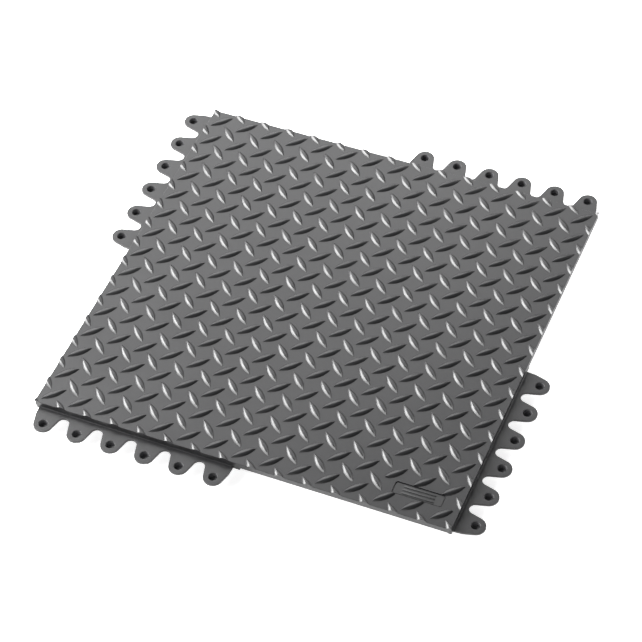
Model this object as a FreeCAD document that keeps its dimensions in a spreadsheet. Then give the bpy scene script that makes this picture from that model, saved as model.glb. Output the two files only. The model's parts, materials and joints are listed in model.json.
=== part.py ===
import FreeCAD, Part
import math
import os

import Sketcher

# A square, modular anti-fatigue tile of solid rubber with a diamond tread deck.
# Half of each side carries a row of lock tabs. The other half is a plain lip with
# lock pegs under it, and the next tile's tabs slide under that lip.
# Frame: origin at the centre of the footprint on the floor, +Z up, millimetres.
# +X and +Y run along the sides, and the front side is at -Y.

sizes = {
    # overall
    "module": 457.2,             # distance from one tile to the next when joined
    "seam_gap": 0.4,             # the deck's edge stands back from the module line
    "deck_level": 20.3,          # walking face above the floor
    "deck_thickness": 6.5,
    "corner_radius": 1.6,
    # raised tread
    "tread_pitch": 30.48,
    "tread_length": 28.0,
    "tread_width": 8.1,
    "tread_height": 1.9,
    "tread_flank": 2.7,          # how far a tread's side slopes in from its foot
    # label recess near the front right corner
    "label_length": 53.3,
    "label_width": 15.2,
    "label_radius": 2.5,
    "label_depth": 1.3,
    "label_margin": 0.6,         # plain deck between the recess and a cut tread
    "panel_thickness": 0.4,
    "panel_clearance": 0.1,
    "bar_length": 34.0,
    "bar_width": 2.0,
    "bar_pitch": 4.2,
    "bar_height": 0.5,
    # tabs, and the rail and web that carry them
    "slide_clearance": 0.2,      # between a tab's top and the lip over it
    "tab_pitch": 38.1,
    "tab_reach": 18.7,           # module line to the centre of a socket
    "tab_thickness": 2.5,
    "tab_head_radius": 10.4,
    "tab_root_width": 26.2,
    "web_width": 9.9,            # deck edge to the root of a tab
    "valley_root": 5.4,          # deck edge to the bottom of the valley between tabs
    "web_flare": 0.8,
    "ledge_clearance": 0.1,      # to the next tile's deck, across the seam
    "rail_width": 4.0,
    "rail_overrun": 7.1,         # rail beyond the end of the web
    # sockets and pegs
    "socket_radius": 4.8,
    "socket_depth": 6.0,
    "socket_floor": 1.2,
    "boss_wall": 1.85,
    "peg_clearance": 0.1,        # round the peg in its socket
    "peg_end_clearance": 0.7,    # from the peg's tip to the socket's floor
    "peg_nose": 1.0,
    # supports under the deck
    "pedestal_pitch": 38.1,
    "pedestal_top_radius": 7.0,
    "pedestal_foot_radius": 5.6,
    "pedestal_clearance": 0.5,   # to the tabs of the next tile
    "post_inset": 16.0,          # module line to the centre of an edge post
    "post_top_radius": 5.8,
    "post_foot_radius": 4.8,
    "foot_chamfer": 0.6,
}

side_names = ["front", "right", "back", "left"]


# ---- counts

treads_per_side = max(1, round(sizes["module"] / sizes["tread_pitch"]))
tread_step = sizes["module"] / treads_per_side
tabs_per_side = int(0.5 * sizes["module"] / sizes["tab_pitch"] + 1e-6)


def pedestals_per_row():
    """An odd number of pedestals that keeps clear of the next tile's tabs."""
    tab_end = sizes["tab_reach"] + sizes["tab_head_radius"]
    outermost = tab_end + sizes["pedestal_clearance"] + sizes["pedestal_top_radius"]
    room = 0.5 * sizes["module"] - outermost
    return 2 * int(room / sizes["pedestal_pitch"] + 1e-6) + 1


# ---- values worked out from the sizes: the number, and the same as an expression

def valley_radius():
    """The arc through the roots of two neighbouring tabs and the valley's bottom."""
    rise = sizes["web_width"] - sizes["valley_root"]
    half_chord = 0.5 * (sizes["tab_pitch"] - sizes["tab_root_width"])
    return (rise ** 2 + half_chord ** 2) / (2 * rise)


rise_text = "(Sizes.web_width - Sizes.valley_root)"
chord_text = "(0.5 * (Sizes.tab_pitch - Sizes.tab_root_width))"
label_column = 0.5 * treads_per_side - 1.5
label_row = 0.5 * treads_per_side - 1.0
derived = {
    "valley_radius": (valley_radius(), "((%s^2 + %s^2) / (2 * %s))"
                      % (rise_text, chord_text, rise_text)),
    "label_x": (label_column * tread_step,
                "(Sizes.module * %g / %d)" % (label_column, treads_per_side)),
    "label_y": (-label_row * tread_step,
                "(Sizes.module * %g / %d)" % (-label_row, treads_per_side)),
}


# A place is written as a sum of named values, such as "0.5*module - seam_gap".
# From that text come both its number and the expression that binds it to the sheet.

def number(text):
    total = 0.0
    sign = 1.0
    for word in text.split():
        if word == "+":
            sign = 1.0
        elif word == "-":
            sign = -1.0
        else:
            product = 1.0
            for factor in word.split("*"):
                if factor in sizes:
                    product *= sizes[factor]
                elif factor in derived:
                    product *= derived[factor][0]
                else:
                    product *= float(factor)
            total += sign * product
    return total


def bound(factor):
    if factor in sizes:
        return "Sizes." + factor
    if factor in derived:
        return derived[factor][1]
    return factor


def expression(text):
    words = ["*".join(bound(factor) for factor in word.split("*")) for word in text.split()]
    return " ".join(words)


deck_bottom = "deck_level - deck_thickness"
tab_top = deck_bottom + " - slide_clearance"
tab_bottom = tab_top + " - tab_thickness"
deck_near = "-0.5*module + seam_gap"
deck_far = "0.5*module - seam_gap"
web_end = deck_near + " - web_width"
ledge = "2*seam_gap - ledge_clearance"
boss_radius = "socket_radius + boss_wall"
web_start_x = "-0.5*module + 0.5*tab_pitch - 0.5*tab_root_width"
web_stop_x = "-0.5*module + %g*tab_pitch + 0.5*tab_root_width" % (tabs_per_side - 0.5)


# ---- the document and its sheet

doc = FreeCAD.newDocument("anti_fatigue_tile")
sheet = doc.addObject("Spreadsheet::Sheet", "Sizes")
for line, name in enumerate(sizes, start=1):
    sheet.set("A%d" % line, name)
    sheet.set("B%d" % line, str(sizes[name]))
    sheet.setAlias("B%d" % line, name)
doc.recompute()


# ---- helpers for bodies and sketches

def new_body(label):
    body = doc.addObject("PartDesign::Body", label)
    body.Label = label
    body.AllowCompound = True
    return body


def new_sketch(body, role, name, level="0"):
    """A sketch on one of the body's origin planes, moved along its normal."""
    sketch = body.newObject("Sketcher::SketchObject", name)
    plane = [p for p in body.Origin.OriginFeatures if p.Role == role][0]
    sketch.AttachmentSupport = [(plane, "")]
    sketch.MapMode = "FlatFace"
    sketch.setExpression("AttachmentOffset.Base.z", expression(level))
    return sketch


def bind_distance(sketch, kind, point, text):
    """The distance of a point from the sketch's origin along X or Y."""
    value = number(text)
    origin = (-1, 1)
    ends = (origin + point) if value > 0 else (point + origin)
    index = sketch.addConstraint(Sketcher.Constraint(kind, *ends, abs(value)))
    words = expression(text) if value > 0 else "-1 * (%s)" % expression(text)
    sketch.setExpression("Constraints[%d]" % index, words)


def place_point(sketch, point, x_text, y_text):
    for kind, axis, text in (("DistanceX", -2, x_text), ("DistanceY", -1, y_text)):
        if abs(number(text)) < 1e-9:
            sketch.addConstraint(Sketcher.Constraint("PointOnObject", *point, axis))
        else:
            bind_distance(sketch, kind, point, text)


def polygon(sketch, corners):
    """A closed outline of straight lines through corners given as (x text, y text)."""
    points = [FreeCAD.Vector(number(x), number(y), 0) for x, y in corners]
    lines = []
    for start, end in zip(points, points[1:] + points[:1]):
        lines.append(sketch.addGeometry(Part.LineSegment(start, end), False))
    for this, following in zip(lines, lines[1:] + lines[:1]):
        sketch.addConstraint(Sketcher.Constraint("Coincident", this, 2, following, 1))
    for line, (x, y) in zip(lines, corners):
        place_point(sketch, (line, 1), x, y)


def rectangle(sketch, x_low, x_high, y_low, y_high):
    polygon(sketch, [(x_low, y_low), (x_high, y_low), (x_high, y_high), (x_low, y_high)])


def bind_radius(sketch, index, radius):
    rule = sketch.addConstraint(Sketcher.Constraint("Radius", index, number(radius)))
    sketch.setExpression("Constraints[%d]" % rule, expression(radius))


def circle(sketch, x, y, radius):
    centre = FreeCAD.Vector(number(x), number(y), 0)
    shape = Part.Circle(centre, FreeCAD.Vector(0, 0, 1), number(radius))
    index = sketch.addGeometry(shape, False)
    place_point(sketch, (index, 3), x, y)
    bind_radius(sketch, index, radius)


def pad(body, sketch, name, length, down=False):
    feature = body.newObject("PartDesign::Pad", name)
    feature.Profile = sketch
    feature.setExpression("Length", expression(length))
    feature.Reversed = down
    return feature


def pocket(body, sketch, name, depth):
    """Cuts down from the sketch into the body."""
    feature = body.newObject("PartDesign::Pocket", name)
    feature.Profile = sketch
    feature.setExpression("Length", expression(depth))
    return feature


def round_upright_edges(body, feature, name, radius, chosen):
    """Rounds the vertical edges whose middle the function chosen accepts."""
    doc.recompute()
    names = []
    for index, edge in enumerate(feature.Shape.Edges, start=1):
        along = edge.tangentAt(edge.FirstParameter)
        if abs(along.z) > 0.999 and chosen(edge.CenterOfMass):
            names.append("Edge%d" % index)
    fillet = body.newObject("PartDesign::Fillet", name)
    fillet.Base = (feature, names)
    fillet.setExpression("Radius", expression(radius))
    return fillet


def repeat_along_x(body, sketch, features, pitch, count):
    """Repeats features of a body along the sketch's horizontal axis."""
    if count < 2:
        return
    pattern = body.newObject("PartDesign::LinearPattern", body.Label + "_pattern")
    pattern.Originals = features
    pattern.Direction = (sketch, ["H_Axis"])
    pattern.Occurrences = count
    pattern.setExpression("Length", "%s * %d" % (expression(pitch), count - 1))
    body.Tip = pattern


def turned_row(label, profile, pitch, count):
    """A row of turned pieces: a profile in (radius, height), repeated along X."""
    body = new_body(label)
    sketch = new_sketch(body, "XZ_Plane", label + "_profile")
    polygon(sketch, profile)
    turned = body.newObject("PartDesign::Revolution", label + "_turned")
    turned.Profile = sketch
    turned.ReferenceAxis = (sketch, ["V_Axis"])
    turned.Angle = 360.0
    repeat_along_x(body, sketch, [turned], pitch, count)
    return body


def put(body, x, y, side=0):
    """Moves a piece drawn for the front side to its place, then round to its side."""
    turn = FreeCAD.Rotation(FreeCAD.Vector(0, 0, 1), 90.0 * side)
    body.Placement = FreeCAD.Placement(turn.multVec(FreeCAD.Vector(x, y, 0)), turn)


# ---- deck

def make_deck():
    """The solid sheet that is stood on, with the recess for the label."""
    body = new_body("deck_sheet")
    outline = new_sketch(body, "XY_Plane", "deck_outline", deck_bottom)
    rectangle(outline, deck_near, deck_far, deck_near, deck_far)
    pad(body, outline, "deck_plate", "deck_thickness")
    recess = new_sketch(body, "XY_Plane", "recess_outline", "deck_level")
    rectangle(recess, "label_x - 0.5*label_length", "label_x + 0.5*label_length",
              "label_y - 0.5*label_width", "label_y + 0.5*label_width")
    cut = pocket(body, recess, "label_recess", "label_depth")
    edge_line = number(deck_far) - 0.01

    def at_deck_corner(middle):
        return abs(middle.x) > edge_line and abs(middle.y) > edge_line

    corners = round_upright_edges(body, cut, "deck_corners", "corner_radius", at_deck_corner)

    def at_recess_corner(middle):
        from_x = abs(abs(middle.x - number("label_x")) - number("0.5*label_length"))
        from_y = abs(abs(middle.y - number("label_y")) - number("0.5*label_width"))
        return from_x < 0.01 and from_y < 0.01

    round_upright_edges(body, corners, "recess_corners", "label_radius", at_recess_corner)
    return body


def make_label_panel():
    """A plain inset panel with three raised bars."""
    body = new_body("label_panel")
    outline = new_sketch(body, "XY_Plane", "panel_outline", "deck_level - label_depth")
    half_x = "0.5*label_length - panel_clearance"
    half_y = "0.5*label_width - panel_clearance"
    rectangle(outline, "-0.5*label_length + panel_clearance", half_x,
              "-0.5*label_width + panel_clearance", half_y)
    plate = pad(body, outline, "panel_plate", "panel_thickness")
    round_upright_edges(body, plate, "panel_corners", "label_radius - panel_clearance",
                        lambda middle: True)
    level = "deck_level - label_depth + panel_thickness"
    bars = new_sketch(body, "XY_Plane", "bar_outlines", level)
    for step in (-1, 0, 1):
        middle = "%d*bar_pitch" % step
        rectangle(bars, "-0.5*bar_length", "0.5*bar_length",
                  middle + " - 0.5*bar_width", middle + " + 0.5*bar_width")
    pad(body, bars, "panel_bars", "bar_height")
    put(body, number("label_x"), number("label_y"))
    return body


# ---- treads: pointed ridges, each the common part of two wide cut-off cones

def deck_block():
    """The deck's outline, raised past the treads, to cut them at the deck's edge."""
    half = number(deck_far)
    height = 2 * sizes["tread_height"]
    corner = FreeCAD.Vector(-half, -half, sizes["deck_level"])
    block = Part.makeBox(2 * half, 2 * half, height, corner)
    upright = [e for e in block.Edges if abs(e.tangentAt(e.FirstParameter).z) > 0.999]
    return block.makeFillet(sizes["corner_radius"], upright)


def label_block():
    """The label's footprint with its margin, to keep the treads out of it."""
    half_x = 0.5 * sizes["label_length"] + sizes["label_margin"]
    half_y = 0.5 * sizes["label_width"] + sizes["label_margin"]
    corner = FreeCAD.Vector(number("label_x") - half_x, number("label_y") - half_y,
                            sizes["deck_level"] - sizes["tread_height"])
    return Part.makeBox(2 * half_x, 2 * half_y, 3 * sizes["tread_height"], corner)


def one_tread(angle):
    """One ridge with its length turned by an angle from +X, base at deck level."""
    half_length = 0.5 * sizes["tread_length"]
    half_width = 0.5 * sizes["tread_width"]
    radius = (half_length ** 2 + half_width ** 2) / (2 * half_width)
    cones = []
    for sense in (-1, 1):
        base = FreeCAD.Vector(0, sense * (radius - half_width), 0)
        cones.append(Part.makeCone(radius, radius - sizes["tread_flank"],
                                   sizes["tread_height"], base))
    ridge = cones[0].common(cones[1])
    ridge.rotate(FreeCAD.Vector(0, 0, 0), FreeCAD.Vector(0, 0, 1), angle)
    ridge.translate(FreeCAD.Vector(0, 0, sizes["deck_level"]))
    return ridge.Solids[0]


def tread_field(label, angle, columns, rows, trimmed):
    """Treads at the crossings of columns and rows, counted in steps from the centre."""
    pattern = one_tread(angle)
    outline = deck_block()
    badge = label_block()
    label_box = badge.BoundBox
    pieces = []
    for column in columns:
        for row in rows:
            centre = FreeCAD.Vector(column * tread_step, row * tread_step, 0)
            tread = pattern.copy()
            tread.translate(centre)
            inside = label_box.isInside(FreeCAD.Vector(centre.x, centre.y, sizes["deck_level"]))
            if inside:
                continue
            if trimmed(column, row):
                tread = tread.common(outline)
            if tread.BoundBox.intersect(label_box):
                tread = tread.cut(badge)
            pieces += [solid for solid in tread.Solids if solid.Volume > 0.5]
    field = doc.addObject("Part::Feature", label)
    field.Label = label
    field.Shape = Part.makeCompound(pieces)
    field.Placement = FreeCAD.Placement()
    return field


def make_treads():
    last = 0.5 * (treads_per_side - 1)
    whole = [i - last for i in range(treads_per_side)]
    edge = 0.5 * treads_per_side
    between = [i - edge for i in range(1, treads_per_side)]
    at_edge = [-edge, edge]
    return [
        tread_field("treads_rising", 45, whole, whole, lambda column, row: False),
        tread_field("treads_falling", -45, between, between, lambda column, row: False),
        tread_field("treads_cut_sides", -45, at_edge, between, lambda column, row: True),
        tread_field("treads_cut_ends", -45, at_edge[:1] + between + at_edge[1:], at_edge,
                    lambda column, row: True),
    ]


# ---- lock tabs, their rail, and the pegs that they fasten to

def make_rail(side):
    """The rail under the deck's edge, and the scalloped web that the tabs grow from."""
    body = new_body("tab_rail_" + side_names[side])
    plan = new_sketch(body, "XY_Plane", body.Label + "_web_plan", tab_bottom)
    polygon(plan, [(web_start_x, web_end), (web_stop_x, web_end),
                   (web_stop_x + " + web_flare", deck_near),
                   (web_start_x + " - web_flare", deck_near)])
    pad(body, plan, body.Label + "_web", "tab_thickness")
    under = new_sketch(body, "XY_Plane", body.Label + "_rail_plan", tab_bottom)
    rectangle(under, deck_near + " + corner_radius", web_stop_x + " + web_flare + rail_overrun",
              deck_near, deck_near + " + rail_width")
    pad(body, under, body.Label + "_bar", "tab_thickness + slide_clearance")
    foot = new_sketch(body, "YZ_Plane", body.Label + "_ledge_profile", web_start_x)
    polygon(foot, [(deck_near, tab_top), (deck_near, tab_top + " + " + ledge),
                   (deck_near + " - " + ledge.replace("-", "+"), tab_top)])
    pad(body, foot, body.Label + "_ledge", "%g*tab_pitch + tab_root_width" % (tabs_per_side - 1))
    valley = new_sketch(body, "XY_Plane", body.Label + "_valley_plan", tab_top)
    circle(valley, "-0.5*module + tab_pitch",
           deck_near + " - valley_root - valley_radius", "valley_radius")
    cut = pocket(body, valley, body.Label + "_valley", "tab_thickness")
    repeat_along_x(body, valley, [cut], "tab_pitch", tabs_per_side - 1)
    put(body, 0, 0, side)
    return body


def tab_outline(sketch, middle, root, centre):
    """Straight flanks from the root, tangent to a round head."""
    x = number(middle)
    radius = sizes["tab_head_radius"]
    corner = FreeCAD.Vector(x + 0.5 * sizes["tab_root_width"], number(root), 0)
    head = FreeCAD.Vector(x, number(centre), 0)
    towards = math.atan2(corner.y - head.y, corner.x - head.x)
    lean = towards - math.acos(radius / corner.distanceToPoint(head))
    right = FreeCAD.Vector(head.x + radius * math.cos(lean), head.y + radius * math.sin(lean), 0)
    left = FreeCAD.Vector(2 * x - right.x, right.y, 0)
    far_corner = FreeCAD.Vector(2 * x - corner.x, corner.y, 0)
    circle_line = Part.Circle(head, FreeCAD.Vector(0, 0, 1), radius)
    base = sketch.addGeometry(Part.LineSegment(far_corner, corner), False)
    right_flank = sketch.addGeometry(Part.LineSegment(corner, right), False)
    arc = sketch.addGeometry(Part.ArcOfCircle(circle_line, math.pi - lean, 2 * math.pi + lean),
                             False)
    left_flank = sketch.addGeometry(Part.LineSegment(left, far_corner), False)
    sketch.addConstraint(Sketcher.Constraint("Coincident", base, 2, right_flank, 1))
    sketch.addConstraint(Sketcher.Constraint("Coincident", left_flank, 2, base, 1))
    sketch.addConstraint(Sketcher.Constraint("Tangent", right_flank, 2, arc, 2))
    sketch.addConstraint(Sketcher.Constraint("Tangent", left_flank, 1, arc, 1))
    place_point(sketch, (base, 1), middle + " - 0.5*tab_root_width", root)
    place_point(sketch, (base, 2), middle + " + 0.5*tab_root_width", root)
    place_point(sketch, (arc, 3), middle, centre)
    bind_radius(sketch, arc, "tab_head_radius")


def make_tabs(side):
    """A row of lock tabs, each with a blind socket in a boss under its head."""
    body = new_body("lock_tabs_" + side_names[side])
    middle = "-0.5*module + 0.5*tab_pitch"
    centre = "-0.5*module - tab_reach"
    plan = new_sketch(body, "XY_Plane", body.Label + "_plan", tab_bottom)
    tab_outline(plan, middle, web_end, centre)
    plate = pad(body, plan, body.Label + "_plate", "tab_thickness")
    ring = new_sketch(body, "XY_Plane", body.Label + "_boss_plan", tab_bottom)
    circle(ring, middle, centre, boss_radius)
    boss = pad(body, ring, body.Label + "_boss", "socket_depth + socket_floor - tab_thickness",
               down=True)
    mouth = new_sketch(body, "XY_Plane", body.Label + "_socket_plan", tab_top)
    circle(mouth, middle, centre, "socket_radius")
    socket = pocket(body, mouth, body.Label + "_socket", "socket_depth")
    repeat_along_x(body, plan, [plate, boss, socket], "tab_pitch", tabs_per_side)
    put(body, 0, 0, side)
    return body


def make_pegs(side):
    """Pegs under the plain half of a side, in line with the next tile's sockets."""
    top = deck_bottom
    low = tab_top + " - socket_depth + peg_end_clearance"
    radius = "socket_radius - peg_clearance"
    profile = [("0", low), (radius + " - peg_nose", low), (radius, low + " + peg_nose"),
               (radius, top), ("0", top)]
    body = turned_row("lock_pegs_" + side_names[side], profile, "tab_pitch", tabs_per_side)
    first = 0.5 * sizes["module"] - (tabs_per_side - 0.5) * sizes["tab_pitch"]
    put(body, first, -number("0.5*module - tab_reach"), side)
    return body


# ---- supports

def foot_profile(top_radius, foot_radius):
    return [("0", "0"), (foot_radius + " - foot_chamfer", "0"), (foot_radius, "foot_chamfer"),
            (top_radius, deck_bottom), ("0", deck_bottom)]


def make_edge_posts(side):
    """Posts behind the tab rail. The first place is left free for the next tile's tab."""
    profile = foot_profile("post_top_radius", "post_foot_radius")
    body = turned_row("edge_posts_" + side_names[side], profile, "tab_pitch", tabs_per_side - 1)
    first = -0.5 * sizes["module"] + 1.5 * sizes["tab_pitch"]
    put(body, first, -number("0.5*module - post_inset"), side)
    return body


def make_pedestal_row(index, count):
    profile = foot_profile("pedestal_top_radius", "pedestal_foot_radius")
    body = turned_row("pedestal_row_%02d" % (index + 1), profile, "pedestal_pitch", count)
    first = -0.5 * (count - 1) * sizes["pedestal_pitch"]
    put(body, first, first + index * sizes["pedestal_pitch"])
    return body


# ---- build, check and write

pieces = [make_deck(), make_label_panel()]
pieces += make_treads()
for side in range(4):
    pieces += [make_rail(side), make_tabs(side), make_pegs(side), make_edge_posts(side)]
row_count = pedestals_per_row()
for row_index in range(row_count):
    pieces.append(make_pedestal_row(row_index, row_count))
doc.recompute()

for item in doc.Objects:
    if "Invalid" in item.State or "Error" in item.State:
        raise RuntimeError("%s is not valid: %s" % (item.Label, item.State))
for piece in pieces:
    if piece.Shape.isNull() or not piece.Shape.isValid():
        raise RuntimeError("%s has no valid shape" % piece.Label)

os.makedirs("parts", exist_ok=True)
for piece in pieces:
    piece.Shape.exportStep("parts/%s.step" % piece.Label)
    print("%-20s %4d solids  %10.1f mm3" % (piece.Label, len(piece.Shape.Solids),
                                            piece.Shape.Volume))
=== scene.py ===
import bmesh
import bpy
import json
import math
from mathutils import Matrix, Vector


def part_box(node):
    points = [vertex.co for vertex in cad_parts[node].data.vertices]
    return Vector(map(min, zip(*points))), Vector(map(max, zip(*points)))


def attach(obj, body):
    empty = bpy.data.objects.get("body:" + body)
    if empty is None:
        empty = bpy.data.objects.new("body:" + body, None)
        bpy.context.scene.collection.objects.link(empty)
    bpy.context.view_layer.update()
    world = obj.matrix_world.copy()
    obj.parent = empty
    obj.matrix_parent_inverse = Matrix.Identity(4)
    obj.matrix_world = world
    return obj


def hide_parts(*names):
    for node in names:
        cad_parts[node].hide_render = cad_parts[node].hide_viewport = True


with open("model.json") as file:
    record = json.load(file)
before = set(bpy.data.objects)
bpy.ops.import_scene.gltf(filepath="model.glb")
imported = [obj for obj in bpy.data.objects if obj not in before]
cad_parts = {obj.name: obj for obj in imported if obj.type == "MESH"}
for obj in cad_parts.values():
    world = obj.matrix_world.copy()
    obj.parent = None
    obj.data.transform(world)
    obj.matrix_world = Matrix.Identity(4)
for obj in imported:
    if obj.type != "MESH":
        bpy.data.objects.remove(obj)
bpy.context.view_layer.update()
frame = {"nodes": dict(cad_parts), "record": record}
mm = 0.001
tiny = 1e-6  # points closer than this are one point

# places that the CAD model already fixes
deckLow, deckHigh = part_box("deck_sheet")
deckHalf = deckHigh[0]
deckTop = deckHigh[2]
deckBottom = deckLow[2]
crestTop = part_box("treads_rising")[1][2]
labelLow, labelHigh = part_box("label_panel")
plateLow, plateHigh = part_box("lock_tabs_front")
mounts = {mount["name"]: mount for mount in frame["record"]["mounts"]}
socket = mounts["socket_front_1"]
secondSocket = mounts["socket_front_2"]
sideNames = ["front", "right", "back", "left"]
tabCount = len([name for name in mounts if name.startswith("socket_front")])
tabPitch = secondSocket["pos_m"][0] - socket["pos_m"][0]
socketRadius = socket["dims"]["r_mm"] * mm
socketDepth = socket["dims"]["length_mm"] * mm


cameraPlace = {
    "target": (0.0054, -0.0225, deckTop),
    "azimuth": 24.55,
    "elevation": 48.80,
    "roll": -2.75,
    "distance": 2.675,
    "lens": 142.8,
    "clipEnd": 50,
}


def makeCamera(place):
    azimuth = math.radians(place["azimuth"])
    elevation = math.radians(place["elevation"])
    roll = math.radians(place["roll"])
    back = Vector((math.sin(azimuth) * math.cos(elevation),
                   -math.cos(azimuth) * math.cos(elevation), math.sin(elevation)))
    right = Vector((0, 0, 1)).cross(back).normalized()
    up = back.cross(right)
    tiltedRight = right * math.cos(roll) + up * math.sin(roll)
    tiltedUp = up * math.cos(roll) - right * math.sin(roll)
    turn = Matrix((tiltedRight, tiltedUp, back)).transposed().to_4x4()
    camera = bpy.data.objects.new("camera", bpy.data.cameras.new("camera"))
    bpy.context.scene.collection.objects.link(camera)
    camera.data.lens = place["lens"]
    camera.data.clip_end = place["clipEnd"]
    camera.matrix_world = Matrix.Translation(Vector(place["target"]) + back * place["distance"]) @ turn
    bpy.context.scene.camera = camera


makeCamera(cameraPlace)
print("camera placed")


def linear(hexColour):  # sRGB hex to linear
    parts = [int(hexColour[i:i + 2], 16) / 255 for i in (1, 3, 5)]
    return tuple(p / 12.92 if p <= 0.04045 else ((p + 0.055) / 1.055) ** 2.4 for p in parts) + (1.0,)


def addNode(tree, kind, settings=None, links=None):  # links: input name to another node's output
    node = tree.nodes.new(kind)
    for name, value in (settings or {}).items():
        if name in node.inputs:
            node.inputs[name].default_value = value
        else:
            setattr(node, name, value)
    for name, source in (links or {}).items():
        tree.links.new(source, node.inputs[name])
    return node


rubberFinish = {
    "base": "#1d1d1e",
    "paler": "#242425",
    "patchSize": 45 * mm,
    "patchDetail": 3.0,
    "patchSharpness": 0.55,
    "patchRange": (0.3, 0.7),
    "grainSize": 0.9 * mm,
    "grainDetail": 2.0,
    "grainSharpness": 0.6,
    "grainDepth": 0.02 * mm,
    "grainStrength": 0.5,
    "roughLow": 0.30,
    "roughHigh": 0.37,
    "ior": 1.5,
}


def mouldedNitrileRubber(name, finish):
    # solid nitrile rubber, compression moulded against a blasted steel tool:
    # black, satin, with a broad soft reflection and a fine even grain
    material = bpy.data.materials.new(name)
    material.use_nodes = True
    tree = material.node_tree
    shader = tree.nodes["Principled BSDF"]
    place = addNode(tree, "ShaderNodeTexCoord").outputs["Object"]
    patches = addNode(tree, "ShaderNodeTexNoise",
                      {"Scale": 1 / finish["patchSize"], "Detail": finish["patchDetail"],
                       "Roughness": finish["patchSharpness"]},
                      {"Vector": place})
    grain = addNode(tree, "ShaderNodeTexNoise",
                    {"Scale": 1 / finish["grainSize"], "Detail": finish["grainDetail"],
                     "Roughness": finish["grainSharpness"]},
                    {"Vector": place})
    colour = addNode(tree, "ShaderNodeMix", {"data_type": "RGBA"})
    colour.inputs[6].default_value = linear(finish["base"])  # 6 and 7 are a colour mix's A and B
    colour.inputs[7].default_value = linear(finish["paler"])
    tree.links.new(patches.outputs["Fac"], colour.inputs[0])
    tree.links.new(colour.outputs[2], shader.inputs["Base Color"])
    rough = addNode(tree, "ShaderNodeMapRange",
                    {"From Min": finish["patchRange"][0], "From Max": finish["patchRange"][1],
                     "To Min": finish["roughLow"], "To Max": finish["roughHigh"]},
                    {"Value": patches.outputs["Fac"]})
    tree.links.new(rough.outputs["Result"], shader.inputs["Roughness"])
    bump = addNode(tree, "ShaderNodeBump",
                   {"Strength": finish["grainStrength"], "Distance": finish["grainDepth"]},
                   {"Height": grain.outputs["Fac"]})
    tree.links.new(bump.outputs["Normal"], shader.inputs["Normal"])
    shader.inputs["IOR"].default_value = finish["ior"]
    return material


deckRubber = mouldedNitrileRubber("moulded_nitrile_rubber_deck", rubberFinish)
tabRubber = mouldedNitrileRubber("moulded_nitrile_rubber_tabs", rubberFinish)
# the underside of the mould is left coarser, so the supports are duller than the deck
supportRubber = mouldedNitrileRubber("moulded_nitrile_rubber_supports",
                                     dict(rubberFinish, roughLow=0.5, roughHigh=0.62))
# an etched insert in the mould: a matt patch, a shade darker than the deck round it
labelRubber = mouldedNitrileRubber("textured_nitrile_rubber_label",
                                   dict(rubberFinish, base="#141415", paler="#19191a",
                                        roughLow=0.5, roughHigh=0.6,
                                        grainSize=0.6 * mm, grainDepth=0.05 * mm))
# painted light: the insides of the sockets are painted a paler grey than the rubber, standing in for
# light reaching down into the holes
paintedLightSocketRubber = mouldedNitrileRubber("nitrile_rubber_sockets_painted_light",
                                    dict(rubberFinish, base="#565658", paler="#626264",
                                         roughLow=0.45, roughHigh=0.55))
print("materials made")


# a finished object that stands for the CAD nodes it names
def finishPiece(bm, name, material, nodes, sharpAngle=25, weighted=False):
    mesh = bpy.data.meshes.new(name)
    bm.to_mesh(mesh)
    bm.free()
    for face in mesh.polygons:
        face.use_smooth = True
    mesh.set_sharp_from_angle(angle=math.radians(sharpAngle))
    mesh.materials.append(material)
    piece = bpy.data.objects.new(name, mesh)
    bpy.context.scene.collection.objects.link(piece)
    if weighted:
        modifier = piece.modifiers.new("evenNormals", "WEIGHTED_NORMAL")
        modifier.keep_sharp = True
    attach(piece, "root")
    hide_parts(*nodes)
    return piece


def turnToSide(bm, index):  # everything is drawn for the front side first
    bmesh.ops.rotate(bm, verts=bm.verts, cent=(0, 0, 0),
                     matrix=Matrix.Rotation(index * math.pi / 2, 3, "Z"))


def addCopy(bm, mesh, matrix):
    count = len(bm.verts)
    bm.from_mesh(mesh)
    bm.verts.ensure_lookup_table()
    bmesh.ops.transform(bm, matrix=matrix, verts=bm.verts[count:])


# a turned solid about Z from (radius, height) points, the first and last on the axis
def spunProfile(bm, profile, steps):
    verts = [bm.verts.new((radius, 0, height)) for radius, height in profile]
    edges = [bm.edges.new(pair) for pair in zip(verts, verts[1:])]
    bmesh.ops.spin(bm, geom=verts + edges, cent=(0, 0, 0), axis=(0, 0, 1), dvec=(0, 0, 0),
                   angle=2 * math.pi, steps=steps, use_merge=True, use_duplicate=False)
    bmesh.ops.remove_doubles(bm, verts=bm.verts, dist=0.1 * tiny)
    bmesh.ops.recalc_face_normals(bm, faces=bm.faces)


def templateMesh(bm, name):
    mesh = bpy.data.meshes.new(name)
    bm.to_mesh(mesh)
    bm.free()
    return mesh


deckFinish = {
    "cornerRadius": 1.6 * mm,
    "edgeRadius": 0.5 * mm,
    "edgeSteps": 3,
    "labelMargin": 0.1 * mm,
    "recessRadius": 2.5 * mm,
    "cutterRise": 10 * mm,
}


def block(low, high, uprightRadius, segments=8):  # a box with rounded upright edges
    bm = bmesh.new()
    bmesh.ops.create_cube(bm, size=1)
    size = [b - a for a, b in zip(low, high)]
    middle = [(a + b) / 2 for a, b in zip(low, high)]
    bmesh.ops.scale(bm, vec=size, verts=bm.verts)
    bmesh.ops.translate(bm, vec=middle, verts=bm.verts)
    upright = [e for e in bm.edges if abs(e.verts[0].co.z - e.verts[1].co.z) > tiny]
    bmesh.ops.bevel(bm, geom=upright, offset=uprightRadius, offset_type="OFFSET", segments=segments,
                    profile=0.5, affect="EDGES", material=-1)
    return bm


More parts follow.
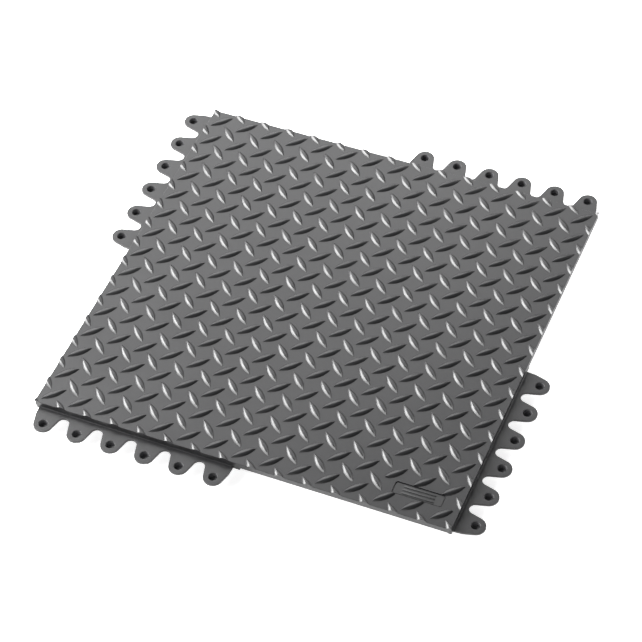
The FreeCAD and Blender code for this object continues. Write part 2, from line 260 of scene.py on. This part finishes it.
def rimEdges(bm, level):  # the edges round the flat face at a level
    return [e for e in bm.edges if all(abs(v.co.z - level) < 0.1 * tiny for v in e.verts)
            and len({round(f.normal.z) for f in e.link_faces}) > 1]


def makeDeck(finish):
    bm = block(deckLow, deckHigh, finish["cornerRadius"])
    bm.normal_update()
    bmesh.ops.bevel(bm, geom=rimEdges(bm, deckTop) + rimEdges(bm, deckBottom),
                    offset=finish["edgeRadius"], offset_type="OFFSET", segments=finish["edgeSteps"],
                    profile=0.5, affect="EDGES", material=-1)
    margin = finish["labelMargin"]
    low = (labelLow[0] - margin, labelLow[1] - margin, labelLow[2])
    high = (labelHigh[0] + margin, labelHigh[1] + margin, deckTop + finish["cutterRise"])
    recess = templateMesh(block(low, high, finish["recessRadius"]), "cutter")
    cutter = bpy.data.objects.new("cutter", recess)
    bpy.context.scene.collection.objects.link(cutter)
    blank = bpy.data.objects.new("blank", templateMesh(bm, "blank"))
    bpy.context.scene.collection.objects.link(blank)
    cut = blank.modifiers.new("recess", "BOOLEAN")
    cut.operation = "DIFFERENCE"
    cut.solver = "EXACT"
    cut.object = cutter
    graph = bpy.context.evaluated_depsgraph_get()
    result = bpy.data.meshes.new_from_object(blank.evaluated_get(graph))
    bpy.data.objects.remove(blank)
    bpy.data.objects.remove(cutter)
    bm = bmesh.new()
    bm.from_mesh(result)
    return finishPiece(bm, "deck", deckRubber, ["deck_sheet"], weighted=True)


makeDeck(deckFinish)
print("deck made")


tread = {
    "step": 30.48 * mm,
    "perSide": 15,
    "length": 28.0 * mm,
    "width": 8.1 * mm,
    "flank": 2.9 * mm,      # how far in from the foot the side reaches the crown
    "swell": 1.45,          # 1 is a straight side, more is a rounder one
    "sunk": 0.2 * mm,       # how far the skirt reaches into the deck
    "labelMargin": 0.6 * mm,
    "alongSteps": 10,
    "acrossSteps": 8,
    "sharpAngle": 50,
}


def ridgeHeight(distance, settings):  # 0 at the foot, 1 on the crown
    share = min(1, distance / settings["flank"])
    return 1 - (1 - share) ** settings["swell"]


def makeTreadTemplate(settings):  # one pointed ridge along X, its foot at level 0
    bm = bmesh.new()
    bmesh.ops.create_grid(bm, x_segments=settings["alongSteps"], y_segments=settings["acrossSteps"],
                          size=1)
    height = crestTop - deckTop
    for vert in bm.verts:
        u = math.sin(vert.co.x * math.pi / 2)
        v = math.sin(vert.co.y * math.pi / 2)
        halfWidth = (1 - u * u) * settings["width"] / 2
        vert.co = (u * settings["length"] / 2, v * halfWidth,
                   height * ridgeHeight((1 - abs(v)) * halfWidth, settings))
    bmesh.ops.remove_doubles(bm, verts=bm.verts, dist=tiny)
    rim = [e for e in bm.edges if e.is_boundary]
    skirt = bmesh.ops.extrude_edge_only(bm, edges=rim)
    lowered = [g for g in skirt["geom"] if isinstance(g, bmesh.types.BMVert)]
    bmesh.ops.translate(bm, verts=lowered, vec=(0, 0, -settings["sunk"]))
    bmesh.ops.holes_fill(bm, edges=[e for e in bm.edges if e.is_boundary], sides=0)
    bmesh.ops.recalc_face_normals(bm, faces=bm.faces)
    return templateMesh(bm, "treadTemplate")


def slicePiece(bm, point, normal):  # takes off what lies past a plane and closes the cut
    parts = bm.verts[:] + bm.edges[:] + bm.faces[:]
    bmesh.ops.bisect_plane(bm, geom=parts, dist=tiny, plane_co=point, plane_no=normal, clear_outer=True)
    bmesh.ops.holes_fill(bm, edges=[e for e in bm.edges if e.is_boundary], sides=0)


def makeTreadField(name, node, angle, columns, rows, template, settings):
    field = bmesh.new()
    margin = settings["labelMargin"] + deckFinish["labelMargin"]
    lowX, highX = labelLow[0] - margin, labelHigh[0] + margin
    lowY, highY = labelLow[1] - margin, labelHigh[1] + margin
    reach = settings["length"] * math.cos(math.pi / 4) / 2
    for column in columns:
        for row in rows:
            x, y = column * settings["step"], row * settings["step"]
            if lowX < x < highX and lowY < y < highY:
                continue
            planes = [((side * deckHalf, 0, 0), (side, 0, 0)) for side in (-1, 1)
                      if abs(x + side * reach) > deckHalf and side * x > 0]
            planes += [((0, side * deckHalf, 0), (0, side, 0)) for side in (-1, 1)
                       if abs(y + side * reach) > deckHalf and side * y > 0]
            if lowX < x + reach and x - reach < highX and lowY < y + reach and y - reach < highY:
                if y > highY:
                    planes.append(((0, highY, 0), (0, -1, 0)))
                elif y < lowY:
                    planes.append(((0, lowY, 0), (0, 1, 0)))
            place = Matrix.Translation((x, y, deckTop)) @ Matrix.Rotation(math.radians(angle), 4, "Z")
            if not planes:
                addCopy(field, template, place)
                continue
            one = bmesh.new()
            addCopy(one, template, place)
            for point, normal in planes:
                slicePiece(one, point, normal)
            mesh = templateMesh(one, "cutTread")
            field.from_mesh(mesh)
            bpy.data.meshes.remove(mesh)
    return finishPiece(field, name, deckRubber, [node], settings["sharpAngle"])


def makeTreads(settings):
    template = makeTreadTemplate(settings)
    count = settings["perSide"]
    whole = [i - (count - 1) / 2 for i in range(count)]
    between = [i - count / 2 for i in range(1, count)]
    edge = [-count / 2, count / 2]
    makeTreadField("risingTreads", "treads_rising", 45, whole, whole, template, settings)
    makeTreadField("fallingTreads", "treads_falling", -45, between, between, template, settings)
    makeTreadField("cutTreadsSides", "treads_cut_sides", -45, edge, between, template, settings)
    makeTreadField("cutTreadsEnds", "treads_cut_ends", -45, edge[:1] + between + edge[1:], edge,
                   template, settings)


makeTreads(tread)
print("treads made")


labelShape = {
    "plate": 0.6 * mm,
    "plateRadius": 1.7 * mm,
    "groove": 0.9 * mm,
    "barLength": 34 * mm,
    "barWidth": 2.0 * mm,
    "barHeight": 0.6 * mm,
    "barPitch": 4.2 * mm,
    "barRadius": 0.6 * mm,
    "barSteps": 4,
    "edge": 0.15 * mm,
    "edgeSteps": 2,
}


def makeLabel(shape):  # a plain inset plate with three raised bars
    middle = [(a + b) / 2 for a, b in zip(labelLow, labelHigh)]
    plateTop = labelLow[2] + shape["plate"]
    barTop = plateTop + shape["barHeight"]
    bm = block((labelLow[0] + shape["groove"], labelLow[1] + shape["groove"], labelLow[2]),
               (labelHigh[0] - shape["groove"], labelHigh[1] - shape["groove"], plateTop),
               shape["plateRadius"])
    for step in (-1, 0, 1):
        y = middle[1] + step * shape["barPitch"]
        low = (middle[0] - shape["barLength"] / 2, y - shape["barWidth"] / 2, labelLow[2])
        high = (middle[0] + shape["barLength"] / 2, y + shape["barWidth"] / 2, barTop)
        bar = block(low, high, shape["barRadius"], shape["barSteps"])
        bar.normal_update()
        bmesh.ops.bevel(bar, geom=rimEdges(bar, barTop), offset=shape["edge"],
                        offset_type="OFFSET", segments=shape["edgeSteps"], profile=0.5,
                        affect="EDGES", material=-1)
        mesh = templateMesh(bar, "bar")
        bm.from_mesh(mesh)
        bpy.data.meshes.remove(mesh)
    return finishPiece(bm, "label", labelRubber, ["label_panel"])


makeLabel(labelShape)
print("label made")


tab = {
    "headRadius": 10.4 * mm,
    "rootWidth": 26.2 * mm,
    "webWidth": 9.9 * mm,
    "valleyRoot": 5.4 * mm,
    "flare": 0.8 * mm,
    "bossWall": 1.85 * mm,
    "railWidth": 4.0 * mm,
    "ledge": 0.7 * mm,
    "edge": 0.35 * mm,
    "edgeSteps": 3,
    "thickness": 2.5 * mm,
    "webTuck": 1.0 * mm,     # how far the web reaches in under the deck's edge
    "ledgeTuck": 0.2 * mm,
    "railRadius": 0.5 * mm,
    "railSteps": 3,
    "headSteps": 24,
    "valleySteps": 12,
    "holeSteps": 32,
    "nearWall": 0.02 * mm,   # a face this close to the bore is part of it
    "nearFoot": 0.1 * mm,
}


def lineTo(bm, start, place):
    made = bmesh.ops.extrude_vert_indiv(bm, verts=[start])
    made["verts"][0].co = place
    return made["verts"][0]


def arcTo(bm, start, centre, angle, steps):
    made = bmesh.ops.spin(bm, geom=[start], cent=centre, axis=(0, 0, 1), dvec=(0, 0, 0),
                          angle=angle, steps=steps, use_duplicate=False)
    return [g for g in made["geom_last"] if isinstance(g, bmesh.types.BMVert)][0]


def makeTabPlate(bm, shape):  # the web and its tabs in one, with a hole in each head
    top = plateHigh[2]
    wall = -deckHalf
    root = wall - shape["webWidth"]
    headY = socket["pos_m"][1]
    firstX = socket["pos_m"][0]
    half = shape["rootWidth"] / 2
    rise = shape["webWidth"] - shape["valleyRoot"]
    chord = (tabPitch - shape["rootWidth"]) / 2
    valleyRadius = (rise ** 2 + chord ** 2) / (2 * rise)
    valleyTurn = 2 * math.asin(chord / valleyRadius)
    valleyY = wall - shape["valleyRoot"] - valleyRadius
    towards = math.atan2(root - headY, half)
    lean = towards - math.acos(shape["headRadius"] / math.hypot(half, root - headY))
    headTurn = math.pi + 2 * lean
    start = bm.verts.new((firstX - half - shape["flare"], wall + shape["webTuck"], top))
    pen = start
    for index in range(tabCount):
        x = firstX + index * tabPitch
        pen = lineTo(bm, pen, (x - half, root, top))
        pen = lineTo(bm, pen, (x - shape["headRadius"] * math.cos(lean),
                               headY + shape["headRadius"] * math.sin(lean), top))
        pen = arcTo(bm, pen, (x, headY, top), headTurn, shape["headSteps"])
        pen = lineTo(bm, pen, (x + half, root, top))
        if index < tabCount - 1:
            pen = arcTo(bm, pen, (x + tabPitch / 2, valleyY, top), -valleyTurn, shape["valleySteps"])
    lastX = firstX + (tabCount - 1) * tabPitch
    pen = lineTo(bm, pen, (lastX + half + shape["flare"], wall + shape["webTuck"], top))
    bm.edges.new((pen, start))
    bmesh.ops.remove_doubles(bm, verts=bm.verts, dist=tiny)
    for index in range(tabCount):
        place = Matrix.Translation((firstX + index * tabPitch, headY, top))
        bmesh.ops.create_circle(bm, cap_ends=False, radius=socketRadius,
                                segments=shape["holeSteps"], matrix=place)
    bmesh.ops.triangle_fill(bm, edges=bm.edges, use_beauty=True, normal=(0, 0, 1))
    made = bmesh.ops.extrude_face_region(bm, geom=bm.faces[:])
    lowered = [g for g in made["geom"] if isinstance(g, bmesh.types.BMVert)]
    bmesh.ops.translate(bm, verts=bm.verts, vec=(0, 0, -shape["edge"]))
    bmesh.ops.translate(bm, verts=lowered, vec=(0, 0, 2 * shape["edge"] - shape["thickness"]))
    bmesh.ops.recalc_face_normals(bm, faces=bm.faces)
    # each step of the rounded rim goes in a little further and rises a little less
    for level in (top - shape["edge"], top - shape["thickness"] + shape["edge"]):
        flat = [f for f in bm.faces if all(abs(v.co.z - level) < tiny for v in f.verts)]
        part = math.pi / 2 / shape["edgeSteps"]
        for turn in range(shape["edgeSteps"]):
            inner, outer = (turn + 1) * part, turn * part
            bmesh.ops.inset_region(bm, faces=flat, use_boundary=True, use_even_offset=True,
                                   thickness=shape["edge"] * (math.cos(outer) - math.cos(inner)),
                                   depth=shape["edge"] * (math.sin(inner) - math.sin(outer)))


def makeTabSide(index, shape):
    bm = bmesh.new()
    makeTabPlate(bm, shape)
    railLow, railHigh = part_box("tab_rail_front")
    top = plateHigh[2]
    railStart = max(railLow[0], -deckHalf + deckFinish["cornerRadius"])
    bar = block((railStart, -deckHalf, top - shape["thickness"]),
                (railHigh[0], -deckHalf + shape["railWidth"], deckBottom),
                shape["railRadius"], shape["railSteps"])
    mesh = templateMesh(bar, "bar")
    bm.from_mesh(mesh)
    bpy.data.meshes.remove(mesh)
    ledgeStart = socket["pos_m"][0] - shape["rootWidth"] / 2
    ledgeStop = ledgeStart + (tabCount - 1) * tabPitch + shape["rootWidth"]
    tuck, rise = shape["ledgeTuck"], shape["ledge"]
    corners = [(tuck - deckHalf, top - tuck), (tuck - deckHalf, top + rise), (-deckHalf, top + rise),
               (-deckHalf - rise, top), (-deckHalf - rise, top - tuck)]
    profile = bm.faces.new([bm.verts.new((ledgeStart, y, z)) for y, z in corners])
    made = bmesh.ops.extrude_face_region(bm, geom=[profile])
    moved = [g for g in made["geom"] if isinstance(g, bmesh.types.BMVert)]
    bmesh.ops.translate(bm, verts=moved, vec=(ledgeStop - ledgeStart, 0, 0))
    cup = bmesh.new()
    floor = top - socketDepth
    foot = plateLow[2]
    bossRadius = socketRadius + shape["bossWall"]
    spunProfile(cup, [(0, floor), (socketRadius, floor), (socketRadius, top - shape["thickness"]),
                      (bossRadius, top - shape["thickness"]), (bossRadius, foot + shape["edge"]),
                      (bossRadius - shape["edge"], foot), (0, foot)], shape["holeSteps"])
    cupMesh = templateMesh(cup, "cup")
    for number in range(tabCount):
        addCopy(bm, cupMesh, Matrix.Translation((socket["pos_m"][0] + number * tabPitch,
                                                 socket["pos_m"][1], 0)))
    bmesh.ops.recalc_face_normals(bm, faces=bm.faces)
    # the bore faces take the second material, whose paler grey is painted light in the holes
    for face in bm.faces:
        centre = face.calc_center_median()
        along = (centre.x - socket["pos_m"][0] + tabPitch / 2) % tabPitch - tabPitch / 2
        across = centre.y - socket["pos_m"][1]
        inBore = math.hypot(along, across) < socketRadius + shape["nearWall"]
        if inBore and centre.z > foot + shape["nearFoot"]:
            face.material_index = 1  # the second material, added below
    turnToSide(bm, index)
    side = sideNames[index]
    piece = finishPiece(bm, side + "LockTabs", tabRubber,
                        ["tab_rail_" + side, "lock_tabs_" + side], weighted=True)
    # the second material paints the bores paler: painted light, not a colour of the rubber
    piece.data.materials.append(paintedLightSocketRubber)


for sideIndex in range(4):
    makeTabSide(sideIndex, tab)
print("lock tabs made")


support = {
    "pegNose": 1.0 * mm,
    "footChamfer": 0.6 * mm,
    "pedestalFoot": 5.6 * mm,
    "postFoot": 4.8 * mm,
    "shoulder": 0.3,        # where a softened edge turns, as a share of it
    "steps": 24,
    "sharpAngle": 35,
}


def makeSupportRow(name, node, profile, count):  # turned pieces, evenly over a node's box
    low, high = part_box(node)
    turned = bmesh.new()
    spunProfile(turned, profile, support["steps"])
    template = templateMesh(turned, "turned")
    bm = bmesh.new()
    alongX = high[0] - low[0] > high[1] - low[1]
    for index in range(count):
        share = index / (count - 1)
        x = (low[0] + high[0]) / 2
        y = (low[1] + high[1]) / 2
        if alongX:
            half = (high[1] - low[1]) / 2
            x = low[0] + half + share * (high[0] - low[0] - 2 * half)
        else:
            half = (high[0] - low[0]) / 2
            y = low[1] + half + share * (high[1] - low[1] - 2 * half)
        addCopy(bm, template, Matrix.Translation((x, y, 0)))
    return finishPiece(bm, name, supportRubber, [node], support["sharpAngle"])


def softTip(radius, level, nose):  # a tip with a softened edge, from the axis outwards
    shoulder = support["shoulder"] * nose
    return [(0, level), (radius - nose, level), (radius - shoulder, level + shoulder),
            (radius, level + nose)]


def footProfile(topRadius, footRadius):
    return softTip(footRadius, 0, support["footChamfer"]) + [(topRadius, deckBottom), (0, deckBottom)]


pegRadius = mounts["peg_front_1"]["dims"]["r_mm"] * mm
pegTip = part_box("lock_pegs_front")[0][2]
pegProfile = softTip(pegRadius, pegTip, support["pegNose"]) + [(pegRadius, deckBottom), (0, deckBottom)]
postLow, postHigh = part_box("edge_posts_front")
postProfile = footProfile((postHigh[1] - postLow[1]) / 2, support["postFoot"])
rowLow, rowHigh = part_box("pedestal_row_01")
pedestalProfile = footProfile((rowHigh[1] - rowLow[1]) / 2, support["pedestalFoot"])
for side in sideNames:
    makeSupportRow(side + "LockPegs", "lock_pegs_" + side, pegProfile, tabCount)
    makeSupportRow(side + "EdgePosts", "edge_posts_" + side, postProfile, tabCount - 1)
rowNodes = sorted(name for name in frame["nodes"] if name.startswith("pedestal_row"))
for number, node in enumerate(rowNodes, start=1):
    makeSupportRow("pedestals%02d" % number, node, pedestalProfile, len(rowNodes))
print("supports made")


studio = {
    "floorSize": 80.0,
    "floorColour": "#f4f4f4",
    "floorRoughness": 0.9,
    "floorGlow": 0.8,
    "surround": 0.03,
    "aimHeight": 0.02,
    "boxDistance": 2.2,
    "boxes": {
        "left": {"towards": (-0.80, 0.05, 0.62), "size": 1.3, "power": 135},
        "leftFront": {"towards": (-0.72, -0.50, 0.50), "size": 1.3, "power": 50},
        "backLeft": {"towards": (-0.60, 0.70, 0.35), "size": 1.3, "power": 16},
        "overDeck": {"towards": (-0.40, 0.60, 0.70), "size": 1.3, "power": 13},
        "back": {"towards": (0.0, 0.85, 0.50), "size": 1.3, "power": 14},
        "backRight": {"towards": (0.60, 0.65, 0.45), "size": 1.3, "power": 26},
        "front": {"towards": (0.25, -0.88, 0.42), "size": 1.3, "power": 10},
    },
}


# matt white acrylic lit from below: an even white with hardly a shadow
def makeFloor(settings):
    bm = bmesh.new()
    bmesh.ops.create_grid(bm, x_segments=1, y_segments=1, size=settings["floorSize"] / 2)
    floor = bpy.data.objects.new("floor", templateMesh(bm, "floor"))
    bpy.context.scene.collection.objects.link(floor)
    material = bpy.data.materials.new("matt_white_acrylic_light_table")
    material.use_nodes = True
    shader = material.node_tree.nodes["Principled BSDF"]
    shader.inputs["Base Color"].default_value = linear(settings["floorColour"])
    shader.inputs["Roughness"].default_value = settings["floorRoughness"]
    shader.inputs["Specular IOR Level"].default_value = 0.0
    shader.inputs["Emission Color"].default_value = (1, 1, 1, 1)
    shader.inputs["Emission Strength"].default_value = settings["floorGlow"]
    floor.data.materials.append(material)


def makeLights(settings):
    centre = Vector((0, 0, settings["aimHeight"]))
    for name, box in settings["boxes"].items():
        light = bpy.data.lights.new(name, "AREA")
        light.shape = "SQUARE"
        light.size = box["size"]
        light.energy = box["power"]
        lamp = bpy.data.objects.new(name, light)
        bpy.context.scene.collection.objects.link(lamp)
        towards = Vector(box["towards"]).normalized()
        lamp.location = centre + towards * settings["boxDistance"]
        lamp.rotation_euler = towards.to_track_quat("Z", "Y").to_euler()
    world = bpy.data.worlds.new("studio")
    bpy.context.scene.world = world
    world.use_nodes = True
    background = world.node_tree.nodes["Background"]
    background.inputs["Color"].default_value = (1, 1, 1, 1)
    background.inputs["Strength"].default_value = settings["surround"]
    bpy.context.scene.view_settings.view_transform = "Standard"


makeFloor(studio)
makeLights(studio)
print("studio set")
